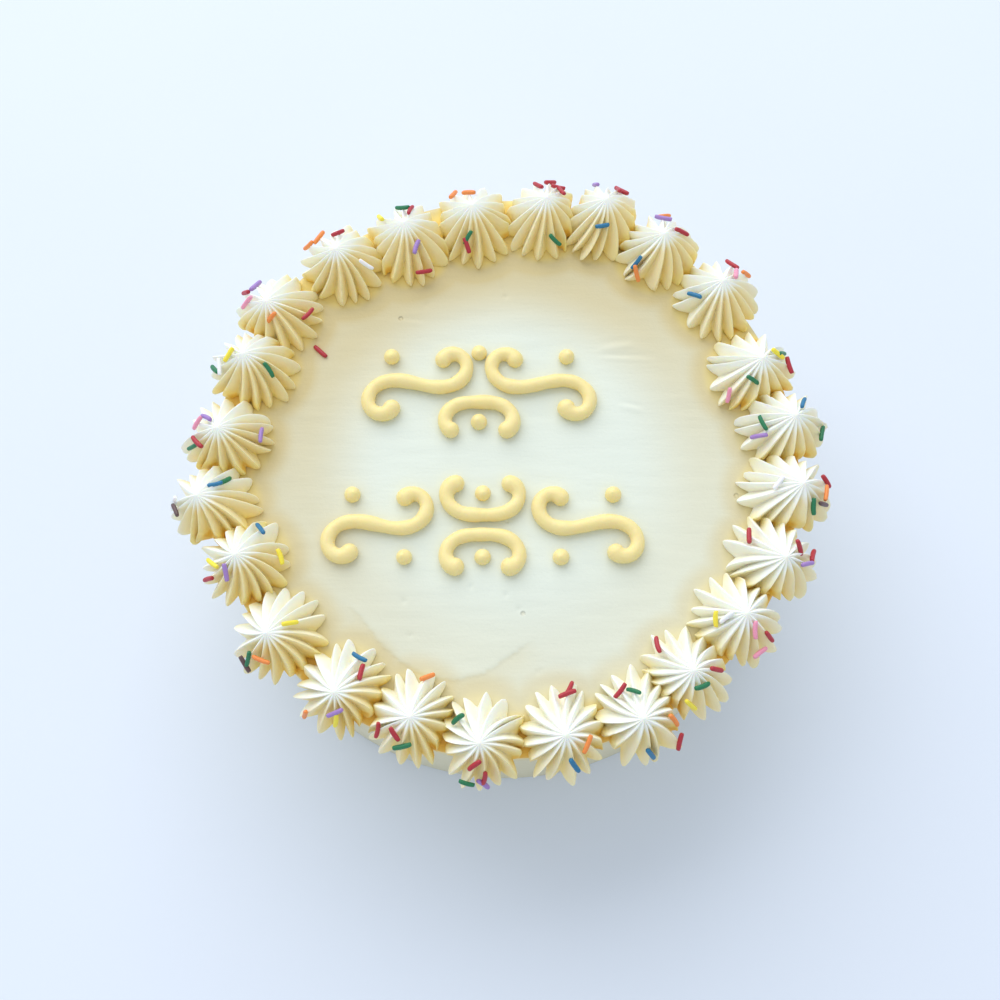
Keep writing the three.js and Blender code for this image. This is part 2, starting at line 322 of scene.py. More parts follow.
def through(points, count):
    """Count points evenly spaced along a smooth (Catmull-Rom) curve through given ones."""
    points = np.array(points, float)
    before, after = 2 * points[:1] - points[1:2], 2 * points[-1:] - points[-2:-1]
    padded = np.concatenate([before, points, after])
    spans = len(points) - 1
    fine = np.linspace(0, spans, 40 * spans + 1)
    span = np.minimum(fine.astype(int), spans - 1)
    t = (fine - span)[:, None]
    a, b, c, d = (padded[span + k] for k in range(4))
    curve = (2 * b + (c - a) * t + (2 * a - 5 * b + 4 * c - d) * t**2
             + (3 * b - a - 3 * c + d) * t**3) / 2
    run = np.concatenate([[0], np.cumsum(np.linalg.norm(np.diff(curve, axis=0), axis=1))])
    even = np.linspace(0, run[-1], count)
    return np.stack([np.interp(even, run, column) for column in curve.T], axis=1)


def ripples(x, y, wavelength, seed, count=14, stretch=1.0):
    """Smooth random relief of about unit height: a sum of sine waves with seeded directions.

    Wavelengths lie within a factor of two about the given one. A stretch above 1 makes the
    waves long along X.
    """
    rng = np.random.default_rng(seed)
    heading = rng.uniform(0, TURN, count)
    number = TURN / (wavelength * 2 ** rng.uniform(-0.7, 0.7, count))
    start = rng.uniform(0, TURN, count)
    total = np.zeros(np.broadcast(x, y).shape)
    for h, k, s in zip(heading, number, start):
        total += np.sin(k * (math.cos(h) * x / stretch + math.sin(h) * y) + s)
    return total / math.sqrt(count / 2)


# ---- materials ----


class Wire:
    """A socket that Python's arithmetic works on: each operation lays one Math node."""

    def __init__(self, finish, socket):
        self.finish = finish
        self.socket = socket

    def _math(self, operation, left, right):
        return self.finish.node("ShaderNodeMath", {"operation": operation}, {0: left, 1: right})

    def __add__(self, other):
        return self._math("ADD", self, other)

    def __radd__(self, other):
        return self._math("ADD", other, self)

    def __sub__(self, other):
        return self._math("SUBTRACT", self, other)

    def __rsub__(self, other):
        return self._math("SUBTRACT", other, self)

    def __mul__(self, other):
        return self._math("MULTIPLY", self, other)

    def __rmul__(self, other):
        return self._math("MULTIPLY", other, self)

    def between(self, low, high):
        """A value that is low where this one is 0 and high where it is 1."""
        return low + (high - low) * self


class Finish:
    """A material laid out by code: one shader, and the nodes that vary it over a surface."""

    def __init__(self, name, **constants):
        """Constants are set on the shader's own sockets, with _ for the space in a name."""
        self.material = bpy.data.materials.new(name)
        self.material.use_nodes = True
        self.tree = self.material.node_tree
        self.tree.nodes.clear()
        self.shader = self.tree.nodes.new("ShaderNodeBsdfPrincipled")
        output = self.tree.nodes.new("ShaderNodeOutputMaterial")
        self.tree.links.new(self.shader.outputs[0], output.inputs[0])
        for socket, value in constants.items():
            self.shader.inputs[socket.replace("_", " ")].default_value = value
        self.place = self.node("ShaderNodeTexCoord", output="Object")

    def node(self, kind, settings=None, inputs=None, output=0):
        """Adds a node, sets it up, feeds its sockets values or wires, and returns a wire."""
        made = self.tree.nodes.new(kind)
        for key, value in (settings or {}).items():
            setattr(made, key, value)
        for key, value in (inputs or {}).items():
            self.feed(made.inputs[key], value)
        return Wire(self, made.outputs[output])

    def feed(self, socket, value):
        """Links a wire to a socket, or sets the socket's own value."""
        if isinstance(value, Wire):
            self.tree.links.new(value.socket, socket)
        else:
            socket.default_value = value

    def set(self, socket, value):
        """Feeds one of the shader's sockets."""
        self.feed(self.shader.inputs[socket], value)

    def noise(self, scale, detail=2.0, stretch=None):
        """Cloudy noise on object coordinates, 0 to 1, with features about 1/scale metres.

        A stretch is a scale for each axis, so the features are narrow where it is above 1.
        """
        place = self.place
        if stretch:
            place = self.node("ShaderNodeMapping", inputs={"Vector": place, "Scale": stretch})
        return self.node(
            "ShaderNodeTexNoise", inputs={"Vector": place, "Scale": scale, "Detail": detail}
        )

    def pits(self, scale, size):
        """1 in small round dips, a share of the size of their random cells, which are about
        1/scale metres wide. Only the cells where a cloud is dense have one.
        """
        cells = self.node(
            "ShaderNodeTexVoronoi", {"feature": "F1"}, {"Vector": self.place, "Scale": scale},
            output="Distance",
        )
        here = self.ramp(self.noise(scale * 0.7, detail=0), 0.48, 0.56)
        return self.ramp(cells, 1.6 * size, 0.5 * size) * here

    def ramp(self, value, low, high):
        """Maps a value from low..high to 0..1, clamped and smooth."""
        return self.node(
            "ShaderNodeMapRange",
            {"interpolation_type": "SMOOTHSTEP"},
            {"Value": value, "From Min": low, "From Max": high},
        )

    def mix(self, share, low, high):
        """A colour between low, at share 0, and high, at share 1."""
        colours = [c if isinstance(c, Wire) else (*c[:3], 1) for c in (low, high)]
        return self.node(
            "ShaderNodeMix",
            {"data_type": "RGBA"},
            {0: share, 6: colours[0], 7: colours[1]},
            output=2,
        )

    def value(self, name):
        """A mesh attribute that the piece carries, 0 to 1."""
        return self.node("ShaderNodeAttribute", {"attribute_name": name}, output="Fac")

    def bump(self, height, depth):
        """Feeds the shader's normal with relief of a real depth in metres."""
        normal = self.node(
            "ShaderNodeBump", inputs={"Strength": 1.0, "Distance": depth, "Height": height}
        )
        self.set("Normal", normal)


def smooth_icing_finish():
    """The crumb-free coat: pale, faintly greenish and silky, with streaks along X.

    The value `tint`, clouded by noise, mixes in painted warm shade. The value `gap`
    mixes in painted shade, the deep yellow of light among the rosettes, and a deeper gold
    where it is highest. Small pits are where air came out, painted with a little warm shade.
    """
    colours = bpy.context.scene.cake_colours
    finish = Finish("smooth_icing", Specular_IOR_Level=0.3)
    cloud = finish.noise(scale=22, detail=3)
    tint = finish.value("tint") * cloud.between(0.82, 1.18)
    colour = finish.mix(tint, colours.icing, colours.icing_in_shade)
    # painted shade among and under the rosettes, deepest beneath the ring
    gap = finish.value("gap")
    colour = finish.mix(gap, colour, colours.piped_in_shade)
    colour = finish.mix(finish.ramp(gap, 0.7, 0.85), colour, colours.golden_shade)
    pit = finish.pits(scale=70, size=0.05)
    # painted shade: the pits take a little of the warm shade colour
    finish.set("Base Color", finish.mix(0.25 * pit, colour, colours.icing_in_shade))
    grain = finish.noise(scale=900, detail=3)
    streaks = finish.noise(scale=60, detail=4, stretch=(1.0, 6.0, 1.0))
    finish.set("Roughness", streaks.between(0.42, 0.58))
    finish.bump(0.12 * grain + 0.28 * streaks - 0.9 * pit, depth=0.5 * MM)
    return finish.material


def piped_cream_finish():
    """Whipped butter cream, with painted light and shade: nearly white where the value
    `highlight` is 1, painted deep-yellow shade where `hollow`, clouded by noise, is high,
    painted gold shade where it is highest, and cream elsewhere.
    """
    colours = bpy.context.scene.cake_colours
    finish = Finish(
        "piped_cream", Subsurface_Weight=0.3, Subsurface_Scale=2 * MM,
        Subsurface_Radius=(1.0, 0.75, 0.35), Specular_IOR_Level=0.15,
    )
    cloud = finish.noise(scale=70, detail=2)
    colour = finish.mix(finish.value("crown"), colours.piped, colours.piped_crown)
    # painted shade in the grooves, deepest in colour where it is highest
    deep = finish.value("hollow") * cloud.between(0.8, 1.2)
    colour = finish.mix(deep, colour, colours.piped_in_shade)
    golden_shade = 0.8 * finish.ramp(deep, 0.6, 1.0)
    finish.set("Base Color", finish.mix(golden_shade, colour, colours.golden_shade))
    finish.set("Roughness", cloud.between(0.44, 0.56))
    fine = finish.noise(scale=1300, detail=3)
    drag = finish.noise(scale=260, detail=3)
    finish.bump(0.4 * fine + 0.6 * drag, depth=0.18 * MM)
    return finish.material


def yellow_cream_finish():
    """The scrollwork's cream: smooth, butter yellow, paler in clouds, and with painted
    deep-yellow shade where the value `low` says that it rests on the icing.
    """
    colours = bpy.context.scene.cake_colours
    finish = Finish(
        "yellow_cream", Subsurface_Weight=0.3, Subsurface_Scale=3 * MM,
        Subsurface_Radius=(1.0, 0.75, 0.3), Specular_IOR_Level=0.4,
    )
    cloud = finish.noise(scale=120, detail=2)
    paler = tuple(min(1, 0.6 * c + 0.4) for c in colours.scroll)
    colour = finish.mix(0.2 * cloud, colours.scroll, paler)
    # painted shade where the line rests on the icing
    deep = 0.7 * finish.value("low")
    finish.set("Base Color", finish.mix(deep, colour, colours.piped_in_shade))
    finish.set("Roughness", cloud.between(0.34, 0.48))
    finish.bump(finish.noise(scale=700, detail=3), depth=0.16 * MM)
    return finish.material


def sugar_finish(name, colour):
    """Pressed sugar with a wax polish, a little mottled."""
    finish = Finish(
        f"sugar_{name}", Subsurface_Weight=0.1, Subsurface_Scale=1 * MM, Coat_Roughness=0.2,
        Specular_IOR_Level=0.5,
    )
    mottle = finish.noise(scale=1500, detail=2)
    paler = tuple(min(1, c * 1.2 + 0.015) for c in colour)
    finish.set("Base Color", finish.mix(mottle, colour, paler))
    finish.set("Roughness", mottle.between(0.3, 0.5))
    finish.bump(finish.noise(scale=2500, detail=2), depth=0.06 * MM)
    return finish.material


def floor_finish():
    """A plain matt table top with the faintest unevenness."""
    colours = bpy.context.scene.cake_colours
    finish = Finish("floor", Specular_IOR_Level=0.2)
    cloud = finish.noise(scale=6, detail=2)
    duller = tuple(0.97 * c for c in colours.floor)
    finish.set("Base Color", finish.mix(cloud, colours.floor, duller))
    finish.set("Roughness", cloud.between(0.7, 0.8))
    return finish.material


# ---- the iced cake ----

# The last stroke's edge, in mm.
SMEAR = [
    (-56, -51), (-50, -56), (-41, -67), (-30, -75), (-18, -78), (-6, -75), (1, -70), (10, -64),
]
PITS = [  # where air came out: places in mm
    (-29, 60), (-12, -46), (0, -49), (4.5, -54), (-32.5, -63), (-35, -51), (11, -75.5), (0, 63),
]
RIPPLES = [  # short ridges: middle in mm, half length and half width, turn in degrees
    (40, 44, 6, 1.6, 8), (44, 39, 9, 1.0, -2), (45, 20, 4, 1.2, -14), (-35, 53.5, 5, 0.9, -8),
    (-2, 69, 6, 0.8, -72),
]
SWELL_HEIGHT, STREAK_HEIGHT, STEP_HEIGHT = 0.18 * MM, 0.025 * MM, 0.3 * MM
PIT_DEPTH, PIT_RADIUS, RIPPLE_HEIGHT = 0.4 * MM, 0.8 * MM, 0.45 * MM
BAND_HEIGHT, WALL_SWELL, LAP_HEIGHT = 0.1 * MM, 0.25 * MM, 0.5 * MM
FOOT_ROUND = 1.0 * MM
ROUND_ICING = 460  # faces round the cake
SHADED_AZIMUTH = 0.6 * math.pi  # where the ring keeps the daylight off the top
# painted shade: how much warm shade is painted evenly over the side
WALL_SHADE = 0.6


def last_stroke(x, y):
    """How far points of the top lie inside the last stroke's edge, and the edge's strength
    there, which fades at its two ends and outwards.
    """
    edge = through(SMEAR, 80) * MM
    apart = np.hypot(x[..., None] - edge[:, 0], y[..., None] - edge[:, 1])
    nearest = apart.argmin(axis=-1)
    along = nearest / (len(edge) - 1)
    inside = np.hypot(edge[nearest, 0], edge[nearest, 1]) - np.hypot(x, y)
    reach = apart.min(axis=-1) * np.sign(inside)
    strength = np.clip(3 * np.sin(math.pi * along), 0, 1) * np.exp(-((reach / (9 * MM)) ** 2))
    return reach, strength


def top_relief(x, y):
    """Height of the spatula's marks at points of the flat top.

    A slow swell, long faint streaks, one stroke's edge along a curve, where the coat steps
    down outwards, round pits, and a few short ripples, each a ridge with a dip behind it.
    """
    relief = SWELL_HEIGHT * ripples(x, y, wavelength=55 * MM, seed=3)
    relief += STREAK_HEIGHT * ripples(x, y, wavelength=5 * MM, seed=4, stretch=7)
    reach, strength = last_stroke(x, y)
    relief -= STEP_HEIGHT * strength * smoothstep(0.6 * MM, -0.6 * MM, reach)
    for pit_x, pit_y in PITS:
        apart = np.hypot(x - pit_x * MM, y - pit_y * MM)
        relief -= PIT_DEPTH * np.exp(-((apart / PIT_RADIUS) ** 2))
    for middle_x, middle_y, length, width, turn in RIPPLES:
        cosine, sine = math.cos(math.radians(turn)), math.sin(math.radians(turn))
        over_x, over_y = x / MM - middle_x, y / MM - middle_y
        u = (over_x * cosine + over_y * sine) / length
        v = (over_y * cosine - over_x * sine) / width
        relief -= RIPPLE_HEIGHT * v * np.exp(-(v**2) - u**4)
    return relief


def wall_relief(turn, height):
    """Height of the scraper's marks on the side: faint level bands that waver as they go
    round, a slow swell, and the lap where the scraper was lifted off.
    """
    waver = height + 0.7 * MM * np.sin(3 * turn) + 0.4 * MM * np.sin(7 * turn + 1)
    bands = BAND_HEIGHT * ripples(waver, 0 * turn, wavelength=6 * MM, seed=21)
    swell = WALL_SWELL * np.sin(2 * turn + 0.5) * np.sin(math.pi * height / CAKE_TOP)
    lap = smoothstep(0, 0.012, turn % TURN) * smoothstep(0.3, 0.0, turn % TURN)
    return bands + swell + LAP_HEIGHT * lap


def icing_profile(edge_round):
    """(radius, height) from the middle of the underside round the foot, up the wall, over the
    soft edge and in to the middle of the top. The top has a point every 0.75 mm.
    """
    corner = np.linspace(0, math.pi / 2, 9)
    sine, cosine = np.sin(corner), np.cos(corner)
    foot = CAKE_RADIUS - FOOT_ROUND
    inner, upper = CAKE_RADIUS - edge_round, CAKE_TOP - edge_round
    under = np.stack([np.linspace(2 * MM, foot, 8), np.zeros(8)], axis=1)
    low = np.stack([foot + FOOT_ROUND * sine, FOOT_ROUND - FOOT_ROUND * cosine], axis=1)
    wall_height = np.linspace(FOOT_ROUND, upper, 42)[1:-1]
    wall = np.stack([np.full(len(wall_height), CAKE_RADIUS), wall_height], axis=1)
    high = np.stack([inner + edge_round * cosine, upper + edge_round * sine], axis=1)
    flat = np.linspace(inner, 0.5 * MM, 134)[1:]
    top = np.stack([flat, np.full(len(flat), CAKE_TOP)], axis=1)
    return np.concatenate([under, low[1:], wall, high, top])


def icing_shades(x, y, turn, radius, height):
    """How much painted warm shade the icing's points have, and how much painted deep-yellow
    shade from the rosettes.

    On the top the painted warm shade grows from the middle to the ring, most in the ring's
    shade, and is a little higher just outside the last stroke's edge and within 7 mm of a
    rosette. On the side it is even. The deep-yellow shade lies where a rosette covers the
    top, most in the ring's shade, and most of all beneath the ring, where it rises from 18 to
    8 mm inside the side. It fades down the topmost 12 mm of the side, under the overhang.
    """
    sizes = bpy.context.scene.cake_sizes
    ring = CAKE_RADIUS + sizes.overhang - sizes.rosette_radius + np.array(RADIAL_DRIFT) * MM
    apart = [np.hypot(x - r * math.cos(a), y - r * math.sin(a)) for r, a in zip(ring, AZIMUTHS)]
    outside = np.minimum.reduce(apart) - sizes.rosette_radius
    shaded = 0.5 + 0.5 * np.cos(turn - SHADED_AZIMUTH)
    reach, strength = last_stroke(x, y)

    # painted warm shade, deepest in the ring's shade and near the rosettes
    tint = (0.2 + 0.65 * shaded) * smoothstep(42 * MM, 72 * MM, radius)
    tint = tint + 0.18 * strength * smoothstep(0.5 * MM, -0.5 * MM, reach)
    tint = tint + 0.36 * smoothstep(7 * MM, 0, outside)

    # painted shade where a rosette covers the top, beneath the ring, and under the overhang
    covered = smoothstep(0.5 * MM, -3.5 * MM, outside)
    under_ring = smoothstep(CAKE_RADIUS - 18 * MM, CAKE_RADIUS - 8 * MM, radius)
    contact = np.maximum(0.1 + 0.5 * shaded, (0.95 - 0.2 * shaded) * under_ring) * covered
    overhung = (0.5 - 0.35 * shaded) * smoothstep(CAKE_TOP - 12 * MM, CAKE_TOP - 3 * MM, height)

    on_top = height > CAKE_TOP - sizes.edge_round
    return np.where(on_top, tint, WALL_SHADE), np.where(on_top, contact, overhung)


def iced_cake():
    """The iced drum: its profile turned round Z, with the spatula's marks added to the height
    of its flat top and the scraper's marks taken inwards from its side.
    """
    edge_round = bpy.context.scene.cake_sizes.edge_round
    profile = icing_profile(edge_round)
    turn = np.linspace(0, TURN, ROUND_ICING, endpoint=False)
    radius, height = profile[:, :1], profile[:, 1:]
    x, y = radius * np.cos(turn), radius * np.sin(turn)
    flat = smoothstep(CAKE_RADIUS - edge_round, CAKE_RADIUS - 3 * edge_round, radius)
    flat = flat * (height > CAKE_TOP / 2)
    upright = smoothstep(0, 4 * MM, height) * smoothstep(CAKE_TOP, CAKE_TOP - 5 * MM, height)
    z = height + flat * top_relief(x, y)
    inward = -np.abs(upright * wall_relief(turn, height))
    grid = np.stack([x + inward * np.cos(turn), y + inward * np.sin(turn), z], axis=-1)
    tint, gap = (wrapped_values(shade) for shade in icing_shades(x, y, turn, radius, height))
    return shell_mesh("iced_cake", *wrapped_shell(grid), tint=tint, gap=gap)


# ---- the rosettes ----


def half_spacing(index, side):
    """Half the angle between a rosette and its neighbour, anticlockwise where side is 1."""
    neighbour = AZIMUTHS[(index - side) % ROSETTES]
    return (neighbour - AZIMUTHS[index]) * side % TURN / 2


CREST = np.maximum(through(CREST_PROFILE, ROSETTE_LEVELS), 0)


class Rosette:
    """One drop of cream from a star nozzle, with its own unevenness."""

    def __init__(self, index):
        sizes = bpy.context.scene.cake_sizes
        rng = np.random.default_rng(100 + index)
        self.index = index
        self.ridges = sizes.ridges
        self.radius = sizes.rosette_radius * rng.uniform(0.98, 1.0)
        self.height = ROSETTE_HEIGHT * rng.uniform(0.92, 0.99)
        self.depth = sizes.ridge_depth
        self.twist = rng.uniform(0.02, 0.34)  # radians from the foot to the peak
        self.lean = np.array([sizes.lean, 0]) + rng.normal(0, 0.7 * MM, 2)
        self.reach = 1 - MOST_SHORTER * rng.random(self.ridges)
        self.warp = rng.normal(0, 0.045, self.ridges)  # radians, all the way up
        self.bend = rng.normal(0, 0.09, self.ridges)  # radians, at the foot
        self.tear = np.minimum(rng.exponential(0.13 * MM, self.ridges), MOST_TORN)
        self.tear_start = rng.uniform(0, TURN, self.ridges)
        self.sag = rng.uniform(0.35, 0.85, self.ridges)  # slope past the cake's edge
        self.ring = CAKE_RADIUS + sizes.overhang - sizes.rosette_radius + RADIAL_DRIFT[index] * MM
        self.sides = [math.tan(half_spacing(index, side)) for side in (1, -1)]
        self.edge = CAKE_RADIUS - sizes.edge_round

    def per_ridge(self, values, theta):
        """A value for each ridge, run evenly from one to the next round the rosette."""
        at = TURN / self.ridges * np.arange(self.ridges)
        return np.interp(theta, at, values, period=TURN)

    def skin(self, theta, level):
        """World points at angles and levels, 0 under the foot and 1 at the peak, with how much
        painted shade each has in its groove and how much painted highlight.

        The radius is the crest's profile, cut back between the ridges. The cut grows in
        proportion to the angle from the ridge, as on a folded fan, so crests are sharp, and
        its bottom is rounded. It is shallower at the foot and the peak. Some crests are torn
        a little. The whole twists and leans with height.
        """
        steps = np.linspace(0, 1, ROSETTE_LEVELS)
        crest = np.interp(level, steps, CREST[:, 0])
        rise = np.interp(level, steps, CREST[:, 1])
        place = theta * self.ridges / TURN
        aside = np.abs((place + 0.5) % 1 - 0.5) * 2
        fold = rounded(aside, CREST_ROUND) ** (1 + 0.35 * smoothstep(0.3, 0.05, rise))
        groove = 1 - rounded(1 - fold, VALLEY_ROUND)
        shallow = FOOT_SHALLOWER * smoothstep(0.32, 0.04, rise)
        shallow = shallow + PEAK_SHALLOWER * smoothstep(0.7, 1.0, rise)
        reach = 1 - (1 - self.per_ridge(self.reach, theta)) * smoothstep(1.0, 0.3, rise)
        radius = self.radius * crest * reach * (1 - self.depth * (1 - shallow) * groove)
        ridge = np.round(place).astype(int) % self.ridges
        jagged = np.sin(19 * level + self.tear_start[ridge]) * np.sin(47 * level + ridge)
        radius = radius + self.tear[ridge] * jagged * (1 - aside) ** 2 * smoothstep(1, 0.7, rise)
        angle = theta + self.per_ridge(self.warp, theta) + self.twist * rise**1.3
        angle = angle + self.per_ridge(self.bend, theta) * (1 - rise) ** 2
        x = radius * np.cos(angle) + self.lean[0] * rise**2
        y = radius * np.sin(angle) + self.lean[1] * rise**2
        y, room = self.squeezed(x, y)
        z = CAKE_TOP - ROSETTE_SUNK + self.height * rise - self.droop(x, y, theta) * (1 - rise)
        # painted light: each flank turns a little further to its own side, so one side of a ridge
        # is painted lit
        flank = np.clip((place - np.round(place)) * 8, -1, 1)
        hollow, crown = self.shades(angle + 0.25 * flank, rise, groove, room)
        return self.placed(x, y, z), hollow, crown

    def squeezed(self, x, y):
        """Points pushed back where they reach past the plane halfway to a neighbour, and the
        room they have, 1 well on this side of it and 0 past it.

        Outside the cake's edge the plane lies nearer and the push is stronger, so a gap
        opens between the two.
        """
        room = np.full(np.shape(x), 1.0)
        outer = smoothstep(-2 * MM, 7 * MM, x)
        for side, slope in zip((1, -1), self.sides):
            over = side * y - (self.ring + x) * slope + NEIGHBOUR_GAP * outer
            y = y - side * (0.65 + 0.2 * outer) * np.maximum(over, 0)
            room = np.minimum(room, smoothstep(1.5 * MM, -4 * MM, over))
        return y, room

    def droop(self, x, y, theta):
        """How far the foot hangs down: 0 over the cake, and past its edge a curve that
        steepens from level to each ridge's own slope.
        """
        beyond = np.maximum(0, np.hypot(self.ring + x, y) - self.edge)
        return beyond**2 / (beyond + DROOP_START) * self.per_ridge(self.sag, theta)

    def shades(self, facing, rise, groove, room):
        """How much painted shade points have in their grooves, and how much painted highlight,
        from
        0 to 1.

        Flanks that face the window are painted paler, as painted light, and more of them where
        the ring is painted palest. The rest get painted shade in their grooves, most near the
        foot. So does what has no room beside a neighbour, lit or not. The highlight is the peak,
        painted white as if lit, and whatever is painted lit.
        """
        # painted light: flanks that face the window are painted paler, more so near the pale side
        # of the ring
        toward = np.cos(facing + AZIMUTHS[self.index] - WINDOW_AZIMUTH)
        pale = max(0, math.cos(AZIMUTHS[self.index] - LIT_AZIMUTH))
        lit = smoothstep(-1.0 - 0.7 * pale, 0.7 - 0.4 * pale, toward)
        # painted shade in the grooves, most near the foot, and where a neighbour leaves no room
        hollow = 0.35 * groove**2 * smoothstep(1.0, 0.4, rise)
        hollow = hollow + 0.45 * groove * smoothstep(0.4, 0.1, rise)
        hollow = hollow * (1 - 0.8 * lit)
        hollow = hollow + (1 - room) * (0.5 + 0.5 * groove) * smoothstep(0.8, 0.3, rise)
        # painted highlight on the peak and on the flanks painted lit
        crown = smoothstep(0.78 - 0.28 * lit, 0.97, rise) + 0.95 * lit * (1 - 0.15 * groove)
        return np.clip(hollow, 0, 1), np.clip(crown, 0, 1)

    def placed(self, x, y, z):
        """Points of the rosette's own frame, +X outwards, set at its place on the ring."""
        cosine, sine = math.cos(AZIMUTHS[self.index]), math.sin(AZIMUTHS[self.index])
        out = self.ring + x
        return np.stack([out * cosine - y * sine, out * sine + y * cosine, z], axis=-1)

    def mesh(self):
        """The drop as a closed shell of ridges times levels."""
        across = np.linspace(-1, 1, ACROSS_RIDGE, endpoint=False)
        across = np.sign(across) * np.abs(across) ** 1.5 / 2  # closer together near the crest
        theta = (np.arange(self.ridges)[:, None] + across).ravel() * TURN / self.ridges
        level = np.linspace(0, 1, ROSETTE_LEVELS)[:, None]
        points, *shades = self.skin(theta[None], level)
        hollow, crown = (wrapped_values(shade) for shade in shades)
        name = f"piped_rosette_{self.index + 1:02d}"
        return shell_mesh(name, *wrapped_shell(points), hollow=hollow, crown=crown)


# ---- piped lines ----


def stroke_path(kind, length, x, y, tilt, mirror, middle, count=240):
    """Points of a stroke on the plane: two curls that run straight where they meet.

    A curl's heading grows with the square of the distance run, up to the bend of the
    scroll's eye. In an S the second curl is the first turned half round, and in a C it is
    the first mirrored.
    """
    half = length * MM / 2
    run = (np.arange(count) + 0.5) * half / count
    heading = run**2 / (2 * CURL_RADIUS * half)
    strides = np.stack([np.cos(heading), np.sin(heading)], axis=1) * half / count
    curl = np.concatenate([[[0, 0]], np.cumsum(strides, axis=0)])
    flip = -1 if kind == "S" else 1
    points = np.concatenate([curl[:0:-1] * [-1, flip], curl])
    cosine, sine = math.cos(math.radians(tilt)), math.sin(math.radians(tilt))
    turned = points @ np.array([[cosine, sine], [-sine, cosine]])
    place = (np.array(middle) + [x, y]) * MM
    return turned * [mirror, 1] + place


def seated_mesh(name, grid, radius):
    """A closed shell that rests on the icing, with how low each point lies on its flanks."""
    vertices, quads, triangles = wrapped_shell(grid)
    low = smoothstep(1.1 * radius, 0.1 * radius, vertices[:, 2] - CAKE_TOP)
    return shell_mesh(name, vertices, quads, triangles, low=low)


def rope_mesh(name, path, seed):
    """A piped line: a round section carried along a path on the icing.

    The section swells by a fifth where the nozzle starts and stops and a little at random
    between, is flattened where it rests, and shrinks to a round cap at each end.
    """
    radius = bpy.context.scene.cake_sizes.rope_radius
    run = np.concatenate([[0], np.cumsum(np.linalg.norm(np.diff(path, axis=0), axis=1))])
    length = run[-1]
    cap = np.sin(np.linspace(-math.pi / 2, 0, 11))[1:] * radius
    inner = np.linspace(0, length, 150)[1:-1]
    stations = np.concatenate([cap, inner, length - cap[::-1]])
    at = np.clip(stations, 0, length)
    middle = np.stack([np.interp(at, run, column) for column in path.T], axis=1)
    ahead = np.gradient(path, run, axis=0)
    ahead = np.stack([np.interp(at, run, column) for column in ahead.T], axis=1)
    ahead /= np.linalg.norm(ahead, axis=1, keepdims=True)
    beyond = stations - at
    from_end = np.minimum(at, length - at)
    swell = 1 + 0.2 * np.exp(-((from_end / (4 * MM)) ** 2))
    swell *= 1 + 0.035 * ripples(at, 0 * at, wavelength=9 * MM, seed=seed)
    thick = swell * np.sqrt(np.maximum(0, radius**2 - beyond**2))
    side = np.stack([-ahead[:, 1], ahead[:, 0]], axis=1)
    middle = middle + ahead * (beyond * swell)[:, None]
    turn = np.linspace(0, TURN, 28, endpoint=False)
    plan = middle[:, None] + side[:, None] * (thick[:, None] * np.cos(turn))[..., None]
    lift = 0.78 * radius + thick[:, None] * np.sin(turn)
    z = CAKE_TOP - LINE_SUNK + np.maximum(lift, 0.02 * lift)
    return seated_mesh(name, np.concatenate([plan, z[..., None]], axis=-1), radius)


def pearl_mesh(name, x, y, seed):
    """A piped pearl: its outline turned round, with a flat seat and a soft tip that leans by
    half a millimetre to one side.
    """
    rng = np.random.default_rng(seed)
    radius = bpy.context.scene.cake_sizes.pearl_radius * rng.uniform(0.94, 1.0)
    profile = through(PEARL_OUTLINE, 26) * radius
    reach, height = profile[:, :1], profile[:, 1:]
    turn = np.linspace(0, TURN, 32, endpoint=False)
    tip = smoothstep(1.2 * radius, 1.7 * radius, height) * 0.5 * MM
    lean = rng.uniform(0, TURN)
    grid = np.stack(
        [
            x * MM + reach * np.cos(turn) + tip * math.cos(lean),
            y * MM + reach * np.sin(turn) + tip * math.sin(lean),
            CAKE_TOP - PEARL_SUNK + height + 0 * turn,
        ],
        axis=-1,
    )
    return seated_mesh(name, grid, radius)


# ---- sprinkles ----


def spread(number, aspect):
    """An even spread from 0 to 1: the fractional part of a number times the aspect's step."""
    return number * SPREAD_STEPS[aspect] % 1


def sprinkle_places(rosettes):
    """Centres and axes of the sprinkles that lie on the rosettes and on the plain top.

    Each lies on a ridge, pressed in by half its radius, two of every three on the outward
    side. The lower it lies, the straighter outwards or inwards it is.
    """
    sizes = bpy.context.scene.cake_sizes
    centres, axes = [], []
    pitch = TURN / sizes.ridges
    step = 0.01  # of the level, over which the ridge's slope is taken
    lowest, highest = SPRINKLE_RISE
    for rosette in rosettes:
        for k in range(rosette.index % 2, MOST_SPRINKLES):
            number = rosette.index * MOST_SPRINKLES + k + 1
            rise = lowest + (highest - lowest) * spread(number, "rise")
            facing = math.pi if number % 3 == 0 else 0
            swing = (2 * spread(number, "swing") - 1) * SPRINKLE_SWING * rise
            ridge = round((facing + swing) / pitch)
            spin = math.pi * spread(number, "spin")
            level = np.interp(rise, CREST[:, 1], np.linspace(0, 1, ROSETTE_LEVELS))
            theta = np.array([ridge * pitch] * 3) % TURN
            ladder = np.array([level, level + step, level - step])
            here, above, below = rosette.skin(theta, ladder)[0]
            uphill = (above - below) / np.linalg.norm(above - below)
            outward = here - rosette.placed(0.0, 0.0, here[2])
            along = np.cross(uphill, outward)
            along /= np.linalg.norm(along)
            normal = np.cross(along, uphill)
            centres.append(here + normal * sizes.sprinkle_radius * 0.5)
            axes.append(along * math.cos(spin) + uphill * math.sin(spin))
    centres.append([STRAY["x"], STRAY["y"], CAKE_TOP + sizes.sprinkle_radius * 0.7])
    axes.append([math.cos(STRAY["turn"]), math.sin(STRAY["turn"]), 0.0])
    return np.array(centres), np.array(axes)


